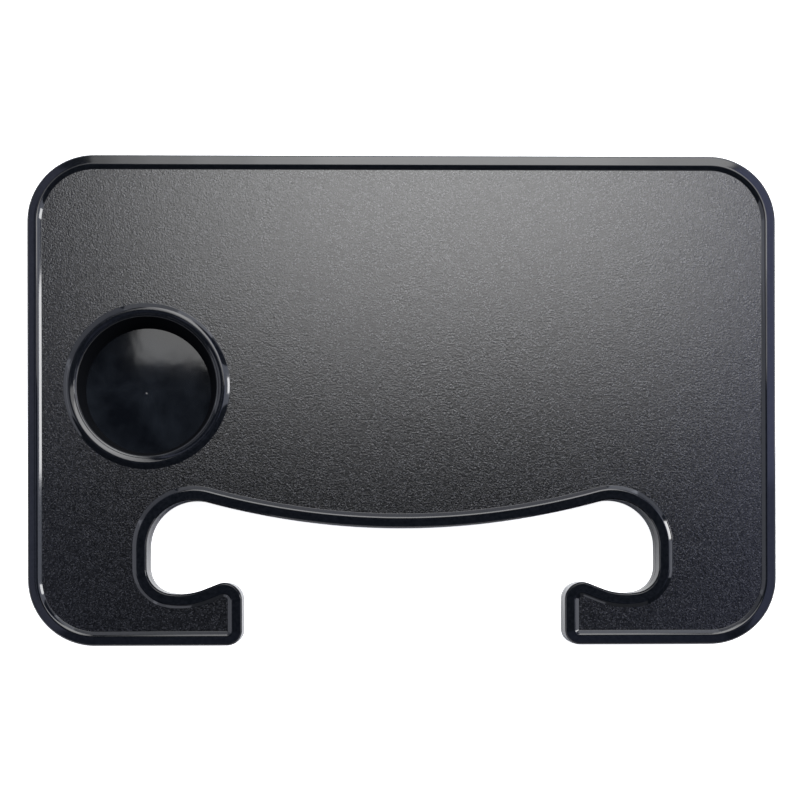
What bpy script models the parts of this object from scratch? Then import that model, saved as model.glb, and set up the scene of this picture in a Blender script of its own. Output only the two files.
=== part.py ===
"""Steering wheel tray: two moulded shells, with a cup well and a hooked slot for the wheel's rim.

Run it with blender --background --python part.py, or from Blender's text editor.
Metres, +Z up. The tray lies flat on z = 0 with its origin under the middle, its slot towards -Y
and its cup well towards -X.
"""

import math

import bmesh
import bpy
from mathutils import Matrix, Vector

# Overall size
TRAY_WIDTH = 0.425
TRAY_DEPTH = 0.278
TRAY_HEIGHT = 0.023
CORNER_RADIUS = 0.038

# Rim round the tray and the slot, on both faces
RIM_RISE = 0.0016  # crest above the panel
RIM_WIDTH = 0.0082  # edge to the foot of the inner slope
RIM_CREST_INSET = 0.0054  # edge to the middle of the crest
RIM_CREST_LAND = 0.0007  # flat on the crest, which the tray rests on
RIM_BAND_DROP = 0.0003  # fall of the crowned band from the crest to the bevel
RIM_BEVEL_WIDTH = 0.0008
RIM_BEVEL_HEIGHT = 0.0011
RIM_CROWN_SHARE = 0.33  # share of the band's fall that is spent halfway along it

# Slot and hooks, from the middle of the slot outwards
SLOT_DEPTH = 0.0665  # front edge to the slot's top at the middle
SLOT_TOP_RADIUS = 0.426
SLOT_TOP_TURN = math.radians(15.2)
HOOK_TOP_RADIUS = 0.0266
HOOK_SIDE_RUN = 0.0115
HOOK_CORNER_RADIUS = 0.0145
HOOK_CORNER_TURN = math.radians(80)
HOOK_SEAT_RADIUS = 0.0365
HOOK_SEAT_TURN = math.radians(31.5)
HOOK_TIP_RUN = 0.0088
TIP_FOOT_RADIUS = 0.0020  # at the foot of the rim, inside the hook's tip
TONGUE_FOOT_RADIUS = 0.0005  # at the foot of the rim, inside the hook's front corner

# Cup well, whose rim has the tray's section but is narrower
CUP_SIDE_DISTANCE = 0.0673  # left edge to the cup's axis
CUP_FRONT_DISTANCE = 0.1471  # front edge to the cup's axis
CUP_EDGE_RADIUS = 0.0392
CUP_RIM_WIDTH = 0.0078
CUP_CREST_INSET = 0.0043
CUP_WALL_TAPER = 0.0034  # how much narrower the well is at its floor
CUP_FLOOR_FILLET = 0.0005
CUP_FLOOR_DISH = 0.0002  # fall of the floor from its border to its middle
CUP_WALL = 0.0020
CUP_HOLE_SHARE = 0.25  # share of the wall that the hole through the panel and ribs takes
GATE_RADIUS = 0.0008
GATE_RISE = 0.0003

# Shell walls
SIDE_WALL = 0.0025
PANEL_WALL = 0.0022
WALL_DRAFT = 0.00016  # how much the outer wall leans in between the seam and the rim
CAVITY_CHAMFER = 0.0012

# Seam between the shells: a butt with a lip on the inside
SEAM_GAP = 0.0003
LIP_INSET = 0.0012
LIP_WALL = 0.0009
LIP_REACH = 0.0020  # how far the lip hangs under the seam
LIP_ROOT = 0.0010  # how far it is rooted in the wall

# Ribs inside each shell
RIB_WALL = 0.0012
RIB_COLUMNS = 4  # on each side of the middle one
RIB_REAR_ROWS = 4
RIB_TONGUE_DISTANCE = 0.018  # front edge to the rib along the hooks' tongues
RIB_LEG_SET_BACK = 0.0155  # slot's top forward to the rib across the legs beside the slot
RIB_SLOT_MARGIN = 0.030  # slot's top back to the first rear rib
RIB_BACK_MARGIN = 0.020

# Locating pins on the top shell and their sockets on the bottom one, at rib crossings
PIN_RADIUS = 0.0021
PIN_REACH = 0.0050  # under the seam
SOCKET_WALL = 0.0016
SOCKET_SET_DOWN = 0.0006  # socket's mouth under the seam
PIN_CROSSINGS = ((-4, 0), (4, 0), (-4, 5), (4, 5), (-2, 3), (2, 3), (0, 5), (0, 2))  # column, row

FIT_CLEARANCE = 0.0003
CUT_OVERRUN = 0.0020
FACET_SAG = 0.00011  # largest distance of a facet from its true arc
CUP_FACETS = 48
PIN_FACETS = 16
FILLET_FACETS = 3
MERGE_DISTANCE = 0.00001
SHARP_ANGLE = math.radians(35)

BLACK_ABS = (0.018, 0.018, 0.021)
TOP_ROUGHNESS = 0.42
BOTTOM_ROUGHNESS = 0.45

SEAM_HEIGHT = TRAY_HEIGHT / 2
FRONT_EDGE = -TRAY_DEPTH / 2
TIP_RADIUS = RIM_WIDTH + TIP_FOOT_RADIUS
TONGUE_CORNER_RADIUS = RIM_WIDTH + TONGUE_FOOT_RADIUS
CUP_AXIS = Vector((-TRAY_WIDTH / 2 + CUP_SIDE_DISTANCE, FRONT_EDGE + CUP_FRONT_DISTANCE, 0))
INNER_FLOOR = RIM_RISE + PANEL_WALL
CUP_FLOOR = INNER_FLOOR + FIT_CLEARANCE + CUP_WALL


class Walk:
    """Goes along the right half of the outline, tray on its left, and keeps each arc that it turns."""

    def __init__(self, x, y):
        self.place = Vector((x, y))
        self.heading = 0.0
        self.arcs = []

    def run(self, length):
        self.place += length * Vector((math.cos(self.heading), math.sin(self.heading)))

    def turn(self, radius, angle):
        """Turns left by a positive angle, and right by a negative one."""
        reach = math.copysign(radius, angle)
        centre = self.place - reach * Vector((math.sin(self.heading), -math.cos(self.heading)))
        self.arcs.append((centre, reach, self.heading, angle))
        self.heading += angle
        self.place = centre + reach * Vector((math.sin(self.heading), -math.cos(self.heading)))


def half_outline():
    """The arcs from the middle of the slot, round the right hook and the right side, to the back."""
    walk = Walk(0, FRONT_EDGE + SLOT_DEPTH)
    walk.turn(SLOT_TOP_RADIUS, SLOT_TOP_TURN)
    walk.turn(HOOK_TOP_RADIUS, -SLOT_TOP_TURN - math.pi / 2)
    walk.run(HOOK_SIDE_RUN)
    walk.turn(HOOK_CORNER_RADIUS, -HOOK_CORNER_TURN)
    walk.turn(HOOK_SEAT_RADIUS, -HOOK_SEAT_TURN)
    walk.run(HOOK_TIP_RUN)
    walk.turn(TIP_RADIUS, HOOK_CORNER_TURN + HOOK_SEAT_TURN)
    walk.run(walk.place.y - FRONT_EDGE - TONGUE_CORNER_RADIUS)
    walk.turn(TONGUE_CORNER_RADIUS, math.pi / 2)
    walk.run(TRAY_WIDTH / 2 - CORNER_RADIUS - walk.place.x)
    walk.turn(CORNER_RADIUS, math.pi / 2)
    walk.run(TRAY_DEPTH - 2 * CORNER_RADIUS)
    walk.turn(CORNER_RADIUS, math.pi / 2)
    return walk.arcs


ARCS = half_outline()


def outline(inset):
    """The whole outline moved in by inset, counter-clockwise, with as many points whatever the inset."""
    half = []
    for centre, reach, heading, angle in ARCS:
        steps = math.ceil(abs(angle) / (2 * math.acos(1 - FACET_SAG / abs(reach))))
        for step in range(steps + 1):
            facing = heading + angle * step / steps
            point = centre + (reach - inset) * Vector((math.sin(facing), -math.cos(facing)))
            if not half or (point - half[-1]).length > MERGE_DISTANCE:
                half.append(point)
    return half + [Vector((-point.x, point.y)) for point in reversed(half[1:])]


def rim_section(width, crest_inset):
    """(inset, distance under the crest) from the top of the outer wall, over the rim, to the panel."""
    shoulder = WALL_DRAFT + RIM_BEVEL_WIDTH
    crest_start = crest_inset - RIM_CREST_LAND / 2
    return [
        (WALL_DRAFT, RIM_BAND_DROP + RIM_BEVEL_HEIGHT),
        (shoulder, RIM_BAND_DROP),
        ((shoulder + crest_start) / 2, RIM_BAND_DROP * RIM_CROWN_SHARE),
        (crest_start, 0),
        (crest_start + RIM_CREST_LAND, 0),
        (width, RIM_RISE),
    ]


def keep(name, mesh, collection):
    """A new object of this mesh, in the collection."""
    made = bpy.data.objects.new(name, mesh)
    collection.objects.link(made)
    return made


def helper(name, mesh):
    """An object that only cuts or joins: it isn't rendered, and shows as a wire."""
    made = keep(name, mesh, helpers)
    made.hide_render = True
    made.display_type = "WIRE"
    return made


def finished_mesh(name, work):
    bmesh.ops.recalc_face_normals(work, faces=work.faces)
    mesh = bpy.data.meshes.new(name)
    work.to_mesh(mesh)
    work.free()
    return mesh


def lofted(name, sections, closed=False):
    """Joins outlines at (inset, height) into one surface, capped at both ends or closed on itself."""
    work = bmesh.new()
    rings = [[work.verts.new((*point, height)) for point in outline(inset)] for inset, height in sections]
    pairs = list(zip(rings, rings[1:]))
    if closed:
        pairs.append((rings[-1], rings[0]))
    else:
        work.faces.new(rings[0])
        work.faces.new(rings[-1])
    for low, high in pairs:
        for here in range(len(low)):
            work.faces.new((low[here - 1], low[here], high[here], high[here - 1]))
    return finished_mesh(name, work)


def boxes(name, spans):
    """Separate boxes, each from its lowest corner to its highest."""
    work = bmesh.new()
    for low, high in spans:
        low, high = Vector(low), Vector(high)
        place = Matrix.Translation((low + high) / 2) @ Matrix.Diagonal((*(high - low), 1))
        bmesh.ops.create_cube(work, size=1, matrix=place)
    return finished_mesh(name, work)


def cylinders(name, centres, radius, low, high, facets):
    work = bmesh.new()
    for x, y in centres:
        bmesh.ops.create_cone(
            work, cap_ends=True, segments=facets, radius1=radius, radius2=radius,
            depth=high - low, matrix=Matrix.Translation((x, y, (low + high) / 2)),
        )
    return finished_mesh(name, work)


def turned(name, profile):
    """A solid of revolution about the object's own Z axis, from (radius, height) points."""
    mesh = bpy.data.meshes.new(name)
    edges = [(here, here + 1) for here in range(len(profile) - 1)]
    mesh.from_pydata([(radius, 0, height) for radius, height in profile], edges, [])
    made = helper(name, mesh)
    screw = made.modifiers.new("turn", "SCREW")
    screw.steps = CUP_FACETS
    screw.render_steps = CUP_FACETS
    screw.use_merge_vertices = True
    screw.merge_threshold = MERGE_DISTANCE
    screw.use_normal_calculate = True
    return made


def join(target, tool, operation):
    step = target.modifiers.new(f"{operation.lower()} {tool.name}", "BOOLEAN")
    step.operation = operation
    step.object = tool


def plastic(name, colour, roughness):
    made = bpy.data.materials.new(name)
    made.use_nodes = True
    shader = made.node_tree.nodes["Principled BSDF"]
    shader.inputs["Base Color"].default_value = (*colour, 1)
    shader.inputs["Roughness"].default_value = roughness
    shader.inputs["Metallic"].default_value = 0
    return made


def shell_sections(seam, crest):
    """Sections of a solid shell from its side of the seam to its panel; crest is its outermost height."""
    out = math.copysign(1, crest - seam)
    rim = rim_section(RIM_WIDTH, RIM_CREST_INSET)
    return [(0, seam)] + [(inset, crest - out * under) for inset, under in rim]


def cavity_sections(seam, ceiling):
    out = math.copysign(1, ceiling - seam)
    return [
        (SIDE_WALL, seam - out * CUT_OVERRUN),
        (SIDE_WALL, ceiling - out * CAVITY_CHAMFER),
        (SIDE_WALL + CAVITY_CHAMFER, ceiling),
    ]


def rib_columns():
    pitch = (TRAY_WIDTH / 2 - CORNER_RADIUS) / RIB_COLUMNS
    return [pitch * column for column in range(-RIB_COLUMNS, RIB_COLUMNS + 1)]


def rib_rows():
    slot_top = FRONT_EDGE + SLOT_DEPTH
    first = slot_top + RIB_SLOT_MARGIN
    last = TRAY_DEPTH / 2 - RIB_BACK_MARGIN
    rear = [first + (last - first) * row / (RIB_REAR_ROWS - 1) for row in range(RIB_REAR_ROWS)]
    return [FRONT_EDGE + RIB_TONGUE_DISTANCE, slot_top - RIB_LEG_SET_BACK] + rear


def cells(name, seam, ceiling):
    """The hollow of a shell: its cavity, cut into cells that leave the ribs standing between them."""
    low, high = sorted((seam + math.copysign(CUT_OVERRUN, seam - ceiling), ceiling))
    columns = [-TRAY_WIDTH / 2, *rib_columns(), TRAY_WIDTH / 2]
    rows = [-TRAY_DEPTH / 2, *rib_rows(), TRAY_DEPTH / 2]
    half = RIB_WALL / 2
    spans = [
        ((left + half, front + half, low - CUT_OVERRUN), (right - half, back - half, high + CUT_OVERRUN))
        for left, right in zip(columns, columns[1:])
        for front, back in zip(rows, rows[1:])
    ]
    made = helper(name, boxes(name, spans))
    cavity = helper(f"{name}_cavity", lofted(f"{name}_cavity", cavity_sections(seam, ceiling)))
    join(made, cavity, "INTERSECT")
    return made


def pin_places():
    columns, rows = rib_columns(), rib_rows()
    return [(columns[column + RIB_COLUMNS], rows[row]) for column, row in PIN_CROSSINGS]


def cup_profile():
    """The cup in section, from the gate mark at its middle, up the well, over the rim and down outside."""
    crest = TRAY_HEIGHT
    floor_radius = CUP_EDGE_RADIUS - CUP_WALL_TAPER
    floor = CUP_FLOOR + CUP_FLOOR_DISH
    points = [(0, CUP_FLOOR + GATE_RISE), (GATE_RADIUS, CUP_FLOOR + GATE_RISE), (GATE_RADIUS, CUP_FLOOR)]
    points.append((floor_radius / 2, CUP_FLOOR + CUP_FLOOR_DISH * RIM_CROWN_SHARE))
    for step in range(FILLET_FACETS + 1):
        angle = math.pi / 2 * step / FILLET_FACETS
        radius = floor_radius - CUP_FLOOR_FILLET * (1 - math.sin(angle))
        points.append((radius, floor + CUP_FLOOR_FILLET * (1 - math.cos(angle))))
    rim = rim_section(CUP_RIM_WIDTH, CUP_CREST_INSET)
    points += [(CUP_EDGE_RADIUS + inset, crest - under) for inset, under in rim[:-1]]
    bed = crest - RIM_RISE - PANEL_WALL / 2
    foot_run = (CUP_RIM_WIDTH - CUP_CREST_INSET - RIM_CREST_LAND / 2) / RIM_RISE
    points.append((CUP_EDGE_RADIUS + CUP_RIM_WIDTH + foot_run * PANEL_WALL / 2, bed))
    points.append((CUP_EDGE_RADIUS + CUP_WALL, bed))
    points.append((floor_radius + CUP_WALL, floor))
    points.append((floor_radius + CUP_WALL - CUP_FLOOR_FILLET, CUP_FLOOR - CUP_WALL))
    points.append((0, CUP_FLOOR - CUP_WALL))
    return points


def make_top_shell():
    seam = SEAM_HEIGHT + SEAM_GAP / 2
    ceiling = TRAY_HEIGHT - RIM_RISE - PANEL_WALL
    shell = keep("top_shell", lofted("top_shell", shell_sections(seam, TRAY_HEIGHT)), parts)
    join(shell, cells("top_cells", seam, ceiling), "DIFFERENCE")
    hole_radius = CUP_EDGE_RADIUS + CUP_WALL * CUP_HOLE_SHARE
    low, high = seam - CUT_OVERRUN, TRAY_HEIGHT + CUT_OVERRUN
    hole = helper("cup_hole", cylinders("cup_hole", [CUP_AXIS.xy], hole_radius, low, high, CUP_FACETS))
    join(shell, hole, "DIFFERENCE")
    cup = turned("cup", cup_profile())
    cup.location = CUP_AXIS
    join(shell, cup, "UNION")
    lip_inner = LIP_INSET + LIP_WALL
    lip_low, lip_high = seam - LIP_REACH, seam + LIP_ROOT
    lip_sections = [
        (LIP_INSET, lip_low), (LIP_INSET, lip_high), (lip_inner, lip_high), (lip_inner, lip_low),
    ]
    join(shell, helper("seam_lip", lofted("seam_lip", lip_sections, closed=True)), "UNION")
    pin_top = ceiling + PANEL_WALL / 2
    pins = cylinders("pins", pin_places(), PIN_RADIUS, seam - PIN_REACH, pin_top, PIN_FACETS)
    join(shell, helper("pins", pins), "UNION")
    return shell


def make_bottom_shell():
    seam = SEAM_HEIGHT - SEAM_GAP / 2
    shell = keep("bottom_shell", lofted("bottom_shell", shell_sections(seam, 0)), parts)
    join(shell, cells("bottom_cells", seam, INNER_FLOOR), "DIFFERENCE")
    cup_space = CUP_EDGE_RADIUS + CUP_WALL + 2 * FIT_CLEARANCE
    high = seam + CUT_OVERRUN
    space = cylinders("cup_space", [CUP_AXIS.xy], cup_space, INNER_FLOOR, high, CUP_FACETS)
    join(shell, helper("cup_space", space), "DIFFERENCE")
    lip_low = SEAM_HEIGHT + SEAM_GAP / 2 - LIP_REACH - FIT_CLEARANCE
    rebate_outer, rebate_inner = LIP_INSET - FIT_CLEARANCE, SIDE_WALL + LIP_WALL
    rebate_sections = [
        (rebate_outer, lip_low), (rebate_outer, high), (rebate_inner, high), (rebate_inner, lip_low),
    ]
    rebate = helper("lip_rebate", lofted("lip_rebate", rebate_sections, closed=True))
    join(shell, rebate, "DIFFERENCE")
    bore = PIN_RADIUS + FIT_CLEARANCE
    socket_low, socket_high = INNER_FLOOR - PANEL_WALL / 2, seam - SOCKET_SET_DOWN
    sockets = cylinders("sockets", pin_places(), bore + SOCKET_WALL, socket_low, socket_high, PIN_FACETS)
    join(shell, helper("sockets", sockets), "UNION")
    bore_low = SEAM_HEIGHT - PIN_REACH - FIT_CLEARANCE
    bores = cylinders("socket_bores", pin_places(), bore, bore_low, high, PIN_FACETS)
    join(shell, helper("socket_bores", bores), "DIFFERENCE")
    return shell


for leftover in list(bpy.data.objects):
    bpy.data.objects.remove(leftover)
parts = bpy.data.collections.new("steering_wheel_tray")
helpers = bpy.data.collections.new("cutters")
for made_collection in (parts, helpers):
    bpy.context.scene.collection.children.link(made_collection)
make_top_shell().data.materials.append(plastic("black_abs_top", BLACK_ABS, TOP_ROUGHNESS))
make_bottom_shell().data.materials.append(plastic("black_abs_bottom", BLACK_ABS, BOTTOM_ROUGHNESS))
for part in parts.objects:
    part.data.shade_smooth()
    part.data.set_sharp_from_angle(angle=SHARP_ANGLE)
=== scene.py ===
"""Looks of the steering wheel tray: fine skins for its two shells, their plastic, the light and the camera.

Metres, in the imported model's frame: the tray lies on z = 0, its slot towards -Y, its cup well towards -X.
"""

import math

import bmesh
import bpy
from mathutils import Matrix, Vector


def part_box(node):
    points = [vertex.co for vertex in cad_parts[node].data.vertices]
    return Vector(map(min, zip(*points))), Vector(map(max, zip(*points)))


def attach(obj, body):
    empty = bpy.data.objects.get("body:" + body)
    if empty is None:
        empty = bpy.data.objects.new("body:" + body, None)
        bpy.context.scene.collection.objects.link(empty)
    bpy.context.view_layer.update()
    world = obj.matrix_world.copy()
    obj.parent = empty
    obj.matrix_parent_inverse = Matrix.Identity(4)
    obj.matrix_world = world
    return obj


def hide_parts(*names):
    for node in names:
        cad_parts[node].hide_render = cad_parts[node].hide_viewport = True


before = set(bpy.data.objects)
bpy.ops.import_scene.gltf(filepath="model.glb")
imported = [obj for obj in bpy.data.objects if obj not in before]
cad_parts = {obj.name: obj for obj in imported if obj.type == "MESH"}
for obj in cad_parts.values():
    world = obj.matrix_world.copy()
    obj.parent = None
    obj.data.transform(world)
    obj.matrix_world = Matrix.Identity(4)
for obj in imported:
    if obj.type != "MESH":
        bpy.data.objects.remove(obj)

# Overall size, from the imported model
top_low, top_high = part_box("top_shell")
bottom_low, bottom_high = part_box("bottom_shell")
TRAY_WIDTH = bottom_high.x - bottom_low.x
TRAY_DEPTH = bottom_high.y - bottom_low.y
TRAY_HEIGHT = top_high.z - bottom_low.z
CORNER_RADIUS = 0.038  # of the outline, at the tray's four corners

# Rim round the tray and the slot, on both faces. The cup well's rim shares its rise, crest, slope and foot
RIM_RISE = 0.0016  # crest above the panel
RIM_WIDTH = 0.0082  # edge to the foot of the inner slope
RIM_CREST_INSET = 0.0054  # edge to the middle of the crest
RIM_CREST_LAND = 0.0007  # flat on the crest
RIM_BAND_DROP = 0.00025  # fall of the band from the crest to the bevel
RIM_BEVEL_WIDTH = 0.0008
RIM_BEVEL_HEIGHT = 0.0011
RIM_BAND_SHARE = 0.55  # share of the band's fall that is left halfway from the bevel to the crest
BEVEL_ROUND_RUN = 0.00022  # half the run of the rounding at each edge of the bevel
SLOPE_BULGE_SHARE = 0.42  # share of the inner slope's fall that is spent halfway along it
CREST_ROUND_RUN = 0.00030  # half the run of the rounding at the inner edge of the crest
FOOT_FILLET_RUN = 0.00012  # half the run of the small fillet at the foot of the inner slope

# Slot and hooks, from the middle of the slot outwards
SLOT_DEPTH = 0.0665
SLOT_TOP_RADIUS = 0.426
SLOT_TOP_TURN = math.radians(15.2)
HOOK_TOP_RADIUS = 0.0266
HOOK_SIDE_RUN = 0.0115
HOOK_CORNER_RADIUS = 0.0145
HOOK_CORNER_TURN = math.radians(80)
HOOK_SEAT_RADIUS = 0.0365
HOOK_SEAT_TURN = math.radians(31.5)
HOOK_TIP_RUN = 0.0088
TIP_RADIUS = 0.0102
TONGUE_CORNER_RADIUS = 0.0087

# Cup well
CUP_SIDE_DISTANCE = 0.0673
CUP_FRONT_DISTANCE = 0.1471
CUP_EDGE_RADIUS = 0.0394
CUP_RIM_WIDTH = 0.0076
CUP_CREST_INSET = 0.0041
CUP_BAND_WIDTH = 0.0022  # rolls in from the crest
CUP_BAND_DROP = 0.0006
CUP_BAND_BEND = 1.35
CUP_STEP_WIDTH = 0.0003  # down from the band to the lip
CUP_STEP_DROP = 0.0004
CUP_LIP_WIDTH = 0.0008  # falls from the step to the edge
CUP_LIP_DROP = 0.00022
CUP_EDGE_DROP = 0.0005  # broken edge between the lip and the wall
CUP_ROUND_RUN = 0.0001
CUP_WALL_TAPER = 0.0036
CUP_FLOOR_OFFSET = Vector((-0.0008, -0.0013))  # as the photograph shows it against the rim
CUP_FLOOR_DISH = 0.0004
CUP_FLOOR = 0.0061
CUP_WALL = 0.0020
GATE_RADIUS = 0.0006
GATE_RISE = 0.00015
GATE_OFFSET = Vector((-0.0016, -0.0018))  # from the middle of the floor

# Walls and seam
SIDE_WALL = 0.0025
PANEL_WALL = 0.0022
WALL_DRAFT = 0.00016
CAVITY_CHAMFER = 0.0012
SEAM_GAP = 0.0003
SEAM_ROUND = 0.00025  # broken edge on each side of the seam
LIP_INSET = 0.0012
LIP_WALL = 0.0009
LIP_REACH = 0.0020
FIT_CLEARANCE = 0.0003

# Fineness of the skins
FACET_SAG = 0.000008
LONGEST_STEP = 0.012  # between points on straight stretches
BAND_FACETS = 10
SLOPE_FACETS = 5
SOFT_FACETS = 4
FLOOR_FACETS = 8
CUP_FACETS = 160
SHARP_ANGLE = math.radians(40)

# Black plastic. Pairs are the least and the most
STIPPLE_SIZE = 0.0009
STIPPLE_HEIGHT = 0.00013
STIPPLE_ROUGHNESS = (0.185, 0.280)
STIPPLE_SHINE = (0.375, 0.625)
STIPPLE_DARK = (0.0002, 0.0003, 0.0005, 1)
STIPPLE_PALE = (0.012, 0.0127, 0.0155, 1)
TIP_SIZE = 0.0007
TIP_SPAN = (0.3, 0.7)  # part of the noise over which the roughness and the shine change
PALE_TIP_SPAN = (0.46, 0.72)  # part of the noise over which the colour changes
WAVE_SIZE = 0.008  # of the faint waves in the polish
PATCH_SIZE = 0.010  # of the patches between which the roughness changes
HAZE_SPAN = (0.35, 0.65)
CLEAR_ABS = (0.0018, 0.0023, 0.0034, 1)
POLISHED_IOR = 1.41
RIM_ROUGHNESS = (0.05, 0.09)
RIM_WAVINESS = 0.000012
RIM_HAZE = (0.0042, 0.0049, 0.0066, 1)
RIM_HAZE_SIZE = 0.0016
WELL_ROUGHNESS = (0.03, 0.05)
WELL_WAVINESS = 0.000007
WELL_HAZE = (0.0065, 0.0080, 0.0105, 1)
WELL_HAZE_SIZE = 0.020
SATIN_ABS = (0.0018, 0.0021, 0.0028, 1)
SATIN_SPREAD = 0.05  # of its roughness, up and down
WELL_WALL_ROUGHNESS = 0.67
WELL_WALL_SHINE = 0.03
BROKEN_EDGE_ROUGHNESS = 0.55
BROKEN_EDGE_SHINE = 0.5
INNER_ABS = (0.012, 0.012, 0.014, 1)
INNER_ROUGHNESS = (0.45, 0.60)

# Camera, over the tray's front half, with its frame moved up to take in the whole tray
CAMERA_PLACE = Vector((-0.0212, -0.0906, 0.950))
CAMERA_YAW = math.radians(1.181)
CAMERA_ROLL = math.radians(-0.122)
CAMERA_LENS = 73.64
CAMERA_SENSOR = 36
CAMERA_SHIFT = 0.20
CAMERA_NEAR = 0.05
CAMERA_FAR = 20

# Studio: lamps are panels of even radiance
WHITE = (1, 1, 1, 1)
FLOOR_REACH = 20.0  # each way from the tray
FLOOR_DROP = 0.0002  # under the tray
FLOOR_COLOUR = (0.8, 0.8, 0.8, 1)
FLOOR_ROUGHNESS = 0.9
FLOOR_GLOW = 0.95  # added to the floor that the camera sees, so that only the closest shadow is left
ROOM_LIGHT = 0.05
ROOM_COLOUR = (0.7, 0.8, 1, 1)
NEUTRAL = (1, 1, 1)
FAINT_BLUE = (0.9, 0.92, 1)
PALE_BLUE = (0.87, 0.90, 1)
SOFT_BLUE = (0.85, 0.88, 1)
CLEAR_BLUE = (0.80, 0.85, 1)
COOL = (0.66, 0.70, 1)
BLUE = (0.55, 0.60, 1)
OVERHEAD_HEIGHT = 0.95
SOFTBOX_ALONG = (0.232, 1.400)  # ends along Y
SOFTBOX_PARTS = [  # ends along X and radiance, weaker towards its sides
    (-0.345, -0.310, 2.8), (-0.310, -0.275, 4.2), (-0.275, -0.220, 5.2), (-0.220, -0.150, 6.4),
    (-0.150, -0.080, 7.5), (-0.080, 0.270, 8.8), (0.270, 0.310, 7.9), (0.310, 0.450, 6.9),
]

SEAM_HEIGHT = TRAY_HEIGHT / 2
FRONT_EDGE = -TRAY_DEPTH / 2
CUP_AXIS = Vector((-TRAY_WIDTH / 2 + CUP_SIDE_DISTANCE, FRONT_EDGE + CUP_FRONT_DISTANCE))

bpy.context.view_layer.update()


class Walk:
    """Goes along the right half of the outline, tray on its left, and keeps each arc and straight run."""

    def __init__(self, x, y):
        self.place = Vector((x, y))
        self.heading = 0.0
        self.stretches = []

    def across(self, heading):
        """Points to the right of the heading, out of the tray."""
        return Vector((math.sin(heading), -math.cos(heading)))

    def run(self, length):
        """Goes straight on."""
        self.stretches.append(("run", self.place.copy(), length, self.heading, 0))
        self.place += length * Vector((math.cos(self.heading), math.sin(self.heading)))

    def turn(self, radius, angle):
        """Turns left by a positive angle, and right by a negative one."""
        reach = math.copysign(radius, angle)
        centre = self.place - reach * self.across(self.heading)
        self.stretches.append(("turn", centre, reach, self.heading, angle))
        self.heading += angle
        self.place = centre + reach * self.across(self.heading)


def half_outline():
    """From the middle of the slot's top, round the right hook and corners, to the middle of the back edge."""
    walk = Walk(0, FRONT_EDGE + SLOT_DEPTH)
    walk.turn(SLOT_TOP_RADIUS, SLOT_TOP_TURN)
    walk.turn(HOOK_TOP_RADIUS, -SLOT_TOP_TURN - math.pi / 2)
    walk.run(HOOK_SIDE_RUN)
    walk.turn(HOOK_CORNER_RADIUS, -HOOK_CORNER_TURN)
    walk.turn(HOOK_SEAT_RADIUS, -HOOK_SEAT_TURN)
    walk.run(HOOK_TIP_RUN)
    walk.turn(TIP_RADIUS, HOOK_CORNER_TURN + HOOK_SEAT_TURN)
    walk.run(walk.place.y - FRONT_EDGE - TONGUE_CORNER_RADIUS)
    walk.turn(TONGUE_CORNER_RADIUS, math.pi / 2)
    walk.run(TRAY_WIDTH / 2 - CORNER_RADIUS - walk.place.x)
    walk.turn(CORNER_RADIUS, math.pi / 2)
    walk.run(TRAY_DEPTH - 2 * CORNER_RADIUS)
    walk.turn(CORNER_RADIUS, math.pi / 2)
    walk.run(TRAY_WIDTH / 2 - CORNER_RADIUS)
    return walk


WALK = half_outline()


def outline(inset):
    """The whole outline moved in by inset, counter-clockwise, with as many points whatever the inset."""
    half = []
    for kind, start, length, heading, angle in WALK.stretches:
        if kind == "turn":
            steps = math.ceil(abs(angle) / (2 * math.acos(1 - FACET_SAG / abs(length))))
            facings = [heading + angle * step / steps for step in range(steps + 1)]
            points = [start + (length - inset) * WALK.across(facing) for facing in facings]
        else:
            steps = math.ceil(length / LONGEST_STEP)
            along = Vector((math.cos(heading), math.sin(heading)))
            first = start - inset * WALK.across(heading)
            points = [first + along * length * step / steps for step in range(steps + 1)]
        half += points if not half else points[1:]
    return half[:-1] + [Vector((-point.x, point.y)) for point in reversed(half[1:])]


def power(share):
    """The power that brings one half to this share."""
    return math.log(share) / math.log(0.5)


def rounded(before, corner, after, run):
    """Points of a soft bend at the corner of a section, which starts and ends this far from it."""
    corner = Vector(corner)
    start = corner + (Vector(before) - corner).normalized() * run
    end = corner + (Vector(after) - corner).normalized() * run
    shares = [step / SOFT_FACETS for step in range(SOFT_FACETS + 1)]
    return [tuple(start.lerp(corner, share).lerp(corner.lerp(end, share), share)) for share in shares]


def softened(points, run):
    """The section with each corner between its ends made a soft bend."""
    made = [points[0]]
    for before, corner, after in zip(points, points[1:], points[2:]):
        made += rounded(before, corner, after, run)
    return made + [points[-1]]


def inner_slope(width, crest_end):
    """(inset, distance under the crest) from the crest's inner end, over a convex slope, onto the panel."""
    bend = power(SLOPE_BULGE_SHARE)
    slope = []
    for step in range(SLOPE_FACETS + 1):
        share = step / SLOPE_FACETS
        slope.append((crest_end + (width - crest_end) * share, RIM_RISE * share ** bend))
    points = rounded((0, 0), slope[0], slope[1], CREST_ROUND_RUN) + slope[1:-1]
    return points + rounded(slope[-2], slope[-1], (2 * width, RIM_RISE), FOOT_FILLET_RUN)


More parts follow.
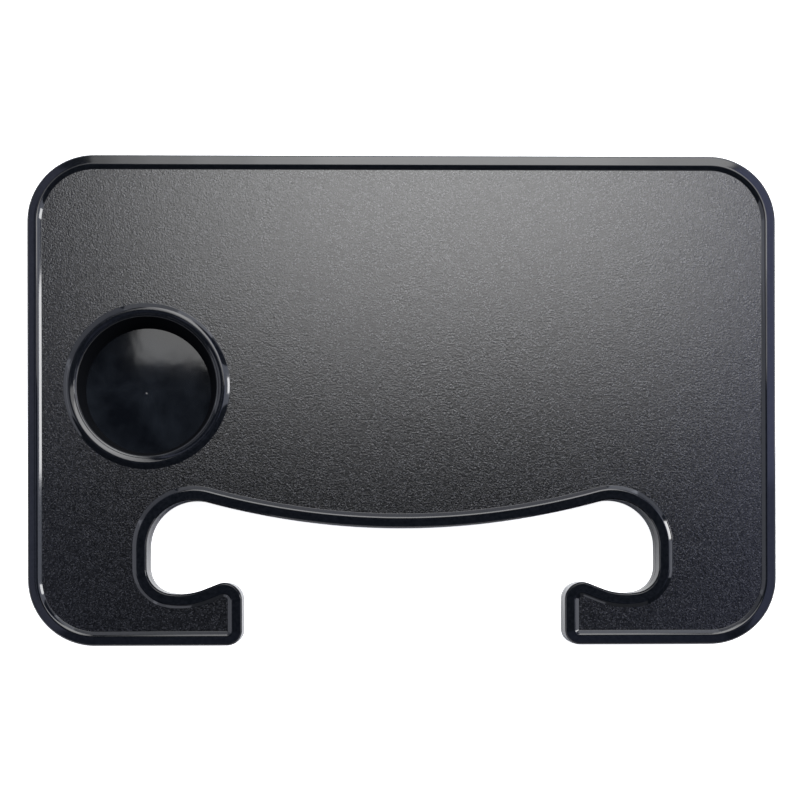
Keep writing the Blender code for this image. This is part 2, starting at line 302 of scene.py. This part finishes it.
def tray_rim():
    """(inset, distance under the crest) over the bevelled edge, the band and the slope, onto the panel."""
    foot = (WALL_DRAFT, RIM_BAND_DROP + RIM_BEVEL_HEIGHT)
    shoulder = (WALL_DRAFT + RIM_BEVEL_WIDTH, RIM_BAND_DROP)
    crest_start = RIM_CREST_INSET - RIM_CREST_LAND / 2
    bend = power(RIM_BAND_SHARE)
    band = []
    for step in range(1, BAND_FACETS + 1):
        share = step / BAND_FACETS
        inset = shoulder[0] + (crest_start - shoulder[0]) * share
        band.append((inset, RIM_BAND_DROP * (1 - share) ** bend))
    points = rounded((foot[0], TRAY_HEIGHT), foot, shoulder, BEVEL_ROUND_RUN)
    points += rounded(foot, shoulder, band[0], BEVEL_ROUND_RUN) + band
    return points + inner_slope(RIM_WIDTH, crest_start + RIM_CREST_LAND)


def cup_rim():
    """(inset, distance under the crest) from the well's wall, over its lip, step and band, to the panel."""
    crest_start = CUP_CREST_INSET - RIM_CREST_LAND / 2
    band = []
    for step in range(BAND_FACETS + 1):
        share = step / BAND_FACETS
        band.append((crest_start - CUP_BAND_WIDTH * share, CUP_BAND_DROP * share ** CUP_BAND_BEND))
    ledge = (band[-1][0] - CUP_STEP_WIDTH, band[-1][1] + CUP_STEP_DROP)
    lip = (ledge[0] - CUP_LIP_WIDTH, ledge[1] + CUP_LIP_DROP)
    flank = band[:-2] + softened([band[-2], band[-1], ledge, lip], CUP_ROUND_RUN)
    flank.append((0, lip[1] + CUP_EDGE_DROP))
    return flank[::-1] + inner_slope(CUP_RIM_WIDTH, crest_start + RIM_CREST_LAND)


def cup_profile(rim):
    """(radius, height) from the panel over the cup's rim, down its wall and across its floor."""
    points = [(CUP_EDGE_RADIUS + inset, TRAY_HEIGHT - under) for inset, under in reversed(rim)]
    for step in range(FLOOR_FACETS):
        share = 1 - step / FLOOR_FACETS
        radius = (CUP_EDGE_RADIUS - CUP_WALL_TAPER) * share
        points.append((radius, CUP_FLOOR + CUP_FLOOR_DISH * share ** 2))
    return points


TRAY_RIM = tray_rim()
CUP_RIM = cup_rim()


def ring(work, points, height):
    """The points as vertices at one height."""
    return [work.verts.new((point.x, point.y, height)) for point in points]


def circle(radius, middle=CUP_AXIS):
    """Points round the cup's axis, or round another middle."""
    turns = [2 * math.pi * step / CUP_FACETS for step in range(CUP_FACETS)]
    return [middle + radius * Vector((math.cos(turn), math.sin(turn))) for turn in turns]


def strip(work, rings, material):
    """Quads between each ring and the next."""
    for low, high in zip(rings, rings[1:]):
        for here in range(len(low)):
            face = work.faces.new((low[here - 1], low[here], high[here], high[here - 1]))
            face.material_index = material


def sheet(work, loops, material):
    """A level face inside the first ring, with the other rings as holes."""
    edges = []
    for loop in loops:
        edges += [work.edges.get((loop[here - 1], loop[here])) for here in range(len(loop))]
    made = bmesh.ops.triangle_fill(work, use_beauty=True, edges=edges)
    for piece in made["geom"]:
        if isinstance(piece, bmesh.types.BMFace):
            piece.material_index = material


def hub(work, loop, place, height, material):
    """Closes a circle with a fan of triangles to its middle."""
    middle = work.verts.new((place.x, place.y, height))
    for here in range(len(loop)):
        work.faces.new((loop[here - 1], loop[here], middle)).material_index = material


def skin(name, work, node, materials):
    """A finished piece from the mesh, in the place of its CAD node."""
    bmesh.ops.recalc_face_normals(work, faces=work.faces)
    mesh = bpy.data.meshes.new(name)
    work.to_mesh(mesh)
    work.free()
    for material in materials:
        mesh.materials.append(material)
    mesh.set_sharp_from_angle(angle=SHARP_ANGLE)
    made = bpy.data.objects.new(name, mesh)
    bpy.context.scene.collection.objects.link(made)
    even = made.modifiers.new("even_shading", "WEIGHTED_NORMAL")
    even.keep_sharp = True
    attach(made, "root")
    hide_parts(node)


# Places of the materials in the list of the skins' materials
STIPPLED, POLISHED, HIDDEN, WELL_WALL, BROKEN_EDGE, FLOOR_POLISH = range(6)


def top_skin(materials):
    """The top shell: wall, rim, panel and cup well outside, and the hollow and the seam's lip inside."""
    work = bmesh.new()
    seam = SEAM_HEIGHT + SEAM_GAP / 2
    ceiling = TRAY_HEIGHT - RIM_RISE - PANEL_WALL
    lip_end = LIP_INSET + LIP_WALL
    inside = [
        (SIDE_WALL + CAVITY_CHAMFER, ceiling), (SIDE_WALL, ceiling - CAVITY_CHAMFER), (SIDE_WALL, seam),
        (lip_end, seam), (lip_end, seam - LIP_REACH), (LIP_INSET, seam - LIP_REACH), (LIP_INSET, seam),
    ]
    wall = [(SEAM_ROUND, seam), (0, seam + SEAM_ROUND)]
    rim = [(inset, TRAY_HEIGHT - under) for inset, under in TRAY_RIM]
    hollow = [ring(work, outline(inset), height) for inset, height in inside]
    outside = [ring(work, outline(inset), height) for inset, height in wall + rim]
    strip(work, hollow, HIDDEN)
    strip(work, [hollow[-1]] + outside, POLISHED)
    wall_top = len(CUP_RIM) - 1
    lip_edge = wall_top - 1
    floor_border = wall_top + 1
    floor_middle = CUP_AXIS + CUP_FLOOR_OFFSET
    cup_rings = [
        ring(work, circle(radius, CUP_AXIS if place < floor_border else floor_middle), height)
        for place, (radius, height) in enumerate(cup_profile(CUP_RIM))
    ]
    strip(work, cup_rings[:lip_edge + 1], POLISHED)
    strip(work, cup_rings[lip_edge:wall_top + 1], BROKEN_EDGE)
    strip(work, cup_rings[wall_top:floor_border + 1], WELL_WALL)
    strip(work, cup_rings[floor_border:], FLOOR_POLISH)
    gate_place = floor_middle + GATE_OFFSET
    gate_radii = (2 * GATE_RADIUS, GATE_RADIUS)
    gate_rings = [ring(work, circle(radius, gate_place), CUP_FLOOR) for radius in gate_radii]
    strip(work, [cup_rings[-1]] + gate_rings, FLOOR_POLISH)
    hub(work, gate_rings[-1], gate_place, CUP_FLOOR + GATE_RISE, FLOOR_POLISH)
    under_radius = CUP_EDGE_RADIUS - CUP_WALL_TAPER + CUP_WALL
    under_floor = CUP_FLOOR - CUP_WALL
    under = [(CUP_EDGE_RADIUS + CUP_WALL, ceiling), (under_radius, CUP_FLOOR), (under_radius, under_floor)]
    under_rings = [ring(work, circle(radius), height) for radius, height in under]
    strip(work, under_rings, HIDDEN)
    hub(work, under_rings[-1], CUP_AXIS, under_floor, HIDDEN)
    sheet(work, [outside[-1], cup_rings[0]], STIPPLED)
    sheet(work, [hollow[0], under_rings[0]], HIDDEN)
    skin("top_skin", work, "top_shell", materials)


def bottom_skin(materials):
    """The bottom shell: panel, rim and wall outside, and the seam's rebate and the hollow inside."""
    work = bmesh.new()
    seam = SEAM_HEIGHT - SEAM_GAP / 2
    rebate = SEAM_HEIGHT + SEAM_GAP / 2 - LIP_REACH - FIT_CLEARANCE
    floor = RIM_RISE + PANEL_WALL
    rim = list(reversed(TRAY_RIM))
    wall = [(0, seam - SEAM_ROUND), (SEAM_ROUND, seam)]
    inside = [
        (LIP_INSET - FIT_CLEARANCE, seam), (LIP_INSET - FIT_CLEARANCE, rebate), (SIDE_WALL, rebate),
        (SIDE_WALL, floor + CAVITY_CHAMFER), (SIDE_WALL + CAVITY_CHAMFER, floor),
    ]
    outside = [ring(work, outline(inset), height) for inset, height in rim + wall]
    hollow = [ring(work, outline(inset), height) for inset, height in inside]
    strip(work, outside + hollow[:1], POLISHED)
    strip(work, hollow, HIDDEN)
    sheet(work, [outside[0]], STIPPLED)
    sheet(work, [hollow[-1]], HIDDEN)
    skin("bottom_skin", work, "bottom_shell", materials)


class Nodes:
    """Short ways to add and link the nodes of one material."""

    def __init__(self, name):
        self.material = bpy.data.materials.new(name)
        self.material.use_nodes = True
        self.tree = self.material.node_tree
        self.shader = self.tree.nodes["Principled BSDF"]

    def add(self, kind, **inputs):
        """A new node with these inputs."""
        node = self.tree.nodes.new(kind)
        for name, value in inputs.items():
            self.put(value, node.inputs[name])
        return node

    def put(self, value, socket):
        """Links another node's output to the socket, or sets it to a plain value."""
        if isinstance(value, bpy.types.NodeSocket):
            self.tree.links.new(value, socket)
        else:
            socket.default_value = value

    def give(self, name, value):
        """Sets an input of the material's shader."""
        self.put(value, self.shader.inputs[name])

    def noise(self, size, detail=2.0, roughness=0.5):
        """Soft noise with grains of about this size."""
        place = self.add("ShaderNodeTexCoord").outputs["Object"]
        grains = self.add(
            "ShaderNodeTexNoise", Vector=place, Scale=1 / size, Detail=detail, Roughness=roughness
        )
        return grains.outputs["Fac"]

    def ranged(self, value, low, high, least=0.0, most=1.0):
        """A number that goes from low to high while the value goes from the least to the most."""
        node = self.add("ShaderNodeMapRange")
        self.put(value, node.inputs["Value"])
        for name, number in (("From Min", least), ("From Max", most), ("To Min", low), ("To Max", high)):
            node.inputs[name].default_value = number
        return node.outputs["Result"]

    def shaded(self, value, dark, light, least, most):
        """A colour that goes from dark to light while the value goes from the least to the most."""
        ramp = self.add("ShaderNodeValToRGB", Fac=value)
        for stop, place, colour in zip(ramp.color_ramp.elements, (least, most), (dark, light)):
            stop.position = place
            stop.color = colour
        return ramp.outputs["Color"]

    def bump(self, height, distance):
        """The normal of a surface that rises by up to this distance with the height."""
        return self.add("ShaderNodeBump", Height=height, Distance=distance, Strength=1.0).outputs["Normal"]


def stippled(name):
    """Fine spark-eroded stipple on black ABS, with its tips a little paler."""
    nodes = Nodes(name)
    grain = nodes.noise(STIPPLE_SIZE, detail=1.5, roughness=0.6)
    nodes.give("Normal", nodes.bump(grain, STIPPLE_HEIGHT))
    tips = nodes.noise(TIP_SIZE, detail=1.0)
    nodes.give("Roughness", nodes.ranged(tips, *STIPPLE_ROUGHNESS, *TIP_SPAN))
    nodes.give("Specular IOR Level", nodes.ranged(tips, *STIPPLE_SHINE, *TIP_SPAN))
    nodes.give("Base Color", nodes.shaded(tips, STIPPLE_DARK, STIPPLE_PALE, *PALE_TIP_SPAN))
    return nodes.material


def polished(name, roughness, waviness, haze, haze_size):
    """Smooth moulded black ABS with a pair of roughnesses, waves of this height and a faint haze."""
    nodes = Nodes(name)
    swirls = nodes.noise(haze_size, detail=3.0, roughness=0.55)
    nodes.give("Base Color", nodes.shaded(swirls, CLEAR_ABS, haze, *HAZE_SPAN))
    wave = nodes.noise(WAVE_SIZE, detail=1.0)
    nodes.give("Normal", nodes.bump(wave, waviness))
    patches = nodes.noise(PATCH_SIZE)
    nodes.give("Roughness", nodes.ranged(patches, *roughness))
    nodes.give("IOR", POLISHED_IOR)
    return nodes.material


def satin(name, roughness, shine):
    """Plain satin black ABS, as on the cup well's wall."""
    nodes = Nodes(name)
    patches = nodes.noise(PATCH_SIZE)
    nodes.give("Roughness", nodes.ranged(patches, roughness - SATIN_SPREAD, roughness + SATIN_SPREAD))
    nodes.give("Base Color", SATIN_ABS)
    nodes.give("Specular IOR Level", shine)
    return nodes.material


def unseen(name):
    """Inside of the shells."""
    nodes = Nodes(name)
    patches = nodes.noise(PATCH_SIZE)
    nodes.give("Roughness", nodes.ranged(patches, *INNER_ROUGHNESS))
    nodes.give("Base Color", INNER_ABS)
    return nodes.material


def area_lamp(name, place, target, width, height, radiance, colour=NEUTRAL):
    """A softbox of this radiance, facing the target."""
    lamp = bpy.data.lights.new(name, "AREA")
    lamp.shape = "RECTANGLE"
    lamp.size = width
    lamp.size_y = height
    lamp.energy = radiance * math.pi * width * height
    lamp.color = colour
    made = bpy.data.objects.new(name, lamp)
    made.location = place
    made.rotation_mode = "QUATERNION"
    made.rotation_quaternion = (Vector(target) - Vector(place)).to_track_quat("-Z", "Y")
    made.visible_camera = False
    bpy.context.scene.collection.objects.link(made)


def overhead_lamp(name, across, along, radiance, colour=NEUTRAL):
    """A level panel over the tray, from its ends along X and along Y."""
    middle = Vector((sum(across) / 2, sum(along) / 2, OVERHEAD_HEIGHT))
    below = middle - Vector((0, 0, 1))
    area_lamp(name, middle, below, across[1] - across[0], along[1] - along[0], radiance, colour)


def make_floor():
    """A matt white floor, which glows for the camera alone."""
    mesh = bpy.data.meshes.new("floor")
    corners = [(-FLOOR_REACH, -FLOOR_REACH, 0), (FLOOR_REACH, -FLOOR_REACH, 0)]
    corners += [(FLOOR_REACH, FLOOR_REACH, 0), (-FLOOR_REACH, FLOOR_REACH, 0)]
    mesh.from_pydata(corners, [], [(0, 1, 2, 3)])
    floor = bpy.data.objects.new("floor", mesh)
    floor.location.z = -FLOOR_DROP
    bpy.context.scene.collection.objects.link(floor)
    nodes = Nodes("white_floor")
    nodes.give("Base Color", FLOOR_COLOUR)
    nodes.give("Roughness", FLOOR_ROUGHNESS)
    nodes.give("Specular IOR Level", 0.0)
    nodes.give("Emission Color", WHITE)
    path = nodes.add("ShaderNodeLightPath")
    nodes.give("Emission Strength", nodes.ranged(path.outputs["Is Camera Ray"], 0, FLOOR_GLOW))
    mesh.materials.append(nodes.material)


def make_world():
    """White where the camera looks past the floor, and a faint blue room for everything else."""
    world = bpy.data.worlds.new("studio")
    bpy.context.scene.world = world
    world.use_nodes = True
    tree = world.node_tree
    backdrop = tree.nodes.new("ShaderNodeBackground")
    backdrop.inputs["Color"].default_value = WHITE
    room = tree.nodes["Background"]
    room.inputs["Color"].default_value = ROOM_COLOUR
    room.inputs["Strength"].default_value = ROOM_LIGHT
    path = tree.nodes.new("ShaderNodeLightPath")
    mix = tree.nodes.new("ShaderNodeMixShader")
    tree.links.new(path.outputs["Is Camera Ray"], mix.inputs[0])
    tree.links.new(room.outputs[0], mix.inputs[1])
    tree.links.new(backdrop.outputs[0], mix.inputs[2])
    tree.links.new(mix.outputs[0], tree.nodes["World Output"].inputs["Surface"])


def make_camera():
    """The camera, looking down from the photograph's place."""
    lens = bpy.data.cameras.new("camera")
    lens.lens = CAMERA_LENS
    lens.sensor_width = CAMERA_SENSOR
    lens.shift_y = CAMERA_SHIFT
    lens.clip_start = CAMERA_NEAR
    lens.clip_end = CAMERA_FAR
    camera = bpy.data.objects.new("camera", lens)
    camera.location = CAMERA_PLACE
    camera.rotation_mode = "ZYX"
    camera.rotation_euler = (0, -CAMERA_YAW, CAMERA_ROLL)
    bpy.context.scene.collection.objects.link(camera)
    bpy.context.scene.camera = camera


bpy.context.scene.view_settings.view_transform = "Standard"
make_camera()
SKIN_MATERIALS = [
    stippled("stippled_black_abs"),
    polished("polished_black_abs", RIM_ROUGHNESS, RIM_WAVINESS, RIM_HAZE, RIM_HAZE_SIZE),
    unseen("inner_black_abs"),
    satin("well_wall_black_abs", WELL_WALL_ROUGHNESS, WELL_WALL_SHINE),
    satin("broken_edge_black_abs", BROKEN_EDGE_ROUGHNESS, BROKEN_EDGE_SHINE),
    polished("well_floor_black_abs", WELL_ROUGHNESS, WELL_WAVINESS, WELL_HAZE, WELL_HAZE_SIZE),
]
top_skin(SKIN_MATERIALS)
bottom_skin(SKIN_MATERIALS)
make_floor()
make_world()

# Level panels over the tray: ends along X, ends along Y, radiance and colour
for index, (start, end, radiance) in enumerate(SOFTBOX_PARTS):
    overhead_lamp(f"softbox_{index}", (start, end), SOFTBOX_ALONG, radiance)
overhead_lamp("softbox_front", (-0.276, 0.450), (0.118, 0.232), 4.0)
overhead_lamp("left_strip", (-0.530, -0.430), (-0.300, 0.870), 1.0, COOL)
overhead_lamp("right_strip_back", (0.465, 0.600), (0.000, 0.870), 2.4, BLUE)
overhead_lamp("right_strip_front", (0.465, 0.600), (-0.250, 0.000), 1.3, BLUE)
overhead_lamp("right_crest_strip", (0.425, 0.465), (-0.250, 0.118), 1.2, BLUE)
overhead_lamp("front_left", (-0.430, 0.000), (-0.450, -0.200), 0.14, BLUE)
overhead_lamp("front_right", (0.000, 0.425), (-0.450, -0.200), 0.28, BLUE)

# Panels that stand round the tray: place, target, width, height, radiance and colour
area_lamp("back_panel", (-0.25, 1.60, 0.62), (0, 0, 0), 1.0, 0.9, 1.8, FAINT_BLUE)
area_lamp("back_panel_right", (0.70, 1.60, 0.62), (0, 0, 0), 0.9, 0.9, 3.4, PALE_BLUE)
area_lamp("right_softbox", (1.15, 0.20, 1.10), (-0.1, 0.1, 0), 0.8, 0.8, 2.9, CLEAR_BLUE)
area_lamp("right_tall_light", (1.10, 0.175, 0.52), (0, 0.175, 0.52), 0.29, 0.77, 20)
area_lamp("left_panel", (-1.35, 0.10, 1.00), (0.1, 0.1, 0), 0.8, 0.8, 1.7, SOFT_BLUE)
area_lamp("left_back_panel", (-1.15, 0.95, 0.70), (0, 0, 0.1), 1.3, 1.1, 1.2, SOFT_BLUE)
area_lamp("right_back_panel", (1.15, 0.95, 0.50), (0, 0, 0.1), 0.9, 0.7, 1.6, SOFT_BLUE)
area_lamp("front_low_panel", (-0.50, -1.35, 0.34), (-0.1, -0.1, 0.1), 0.9, 0.4, 1.6, SOFT_BLUE)
area_lamp("front_fill", (0.20, -1.80, 0.60), (0, 0, 0.1), 1.8, 0.8, 0.35, FAINT_BLUE)
area_lamp("left_low_panel", (-1.35, -0.05, 0.36), (0, -0.05, 0.1), 1.1, 0.5, 1.9, SOFT_BLUE)
area_lamp("left_front_panel", (-1.10, -0.95, 0.34), (-0.1, -0.1, 0.1), 0.9, 0.4, 1.6, SOFT_BLUE)
area_lamp("right_low_panel", (1.10, -0.16, 0.30), (0, -0.1, 0.1), 0.36, 0.4, 3.0, SOFT_BLUE)
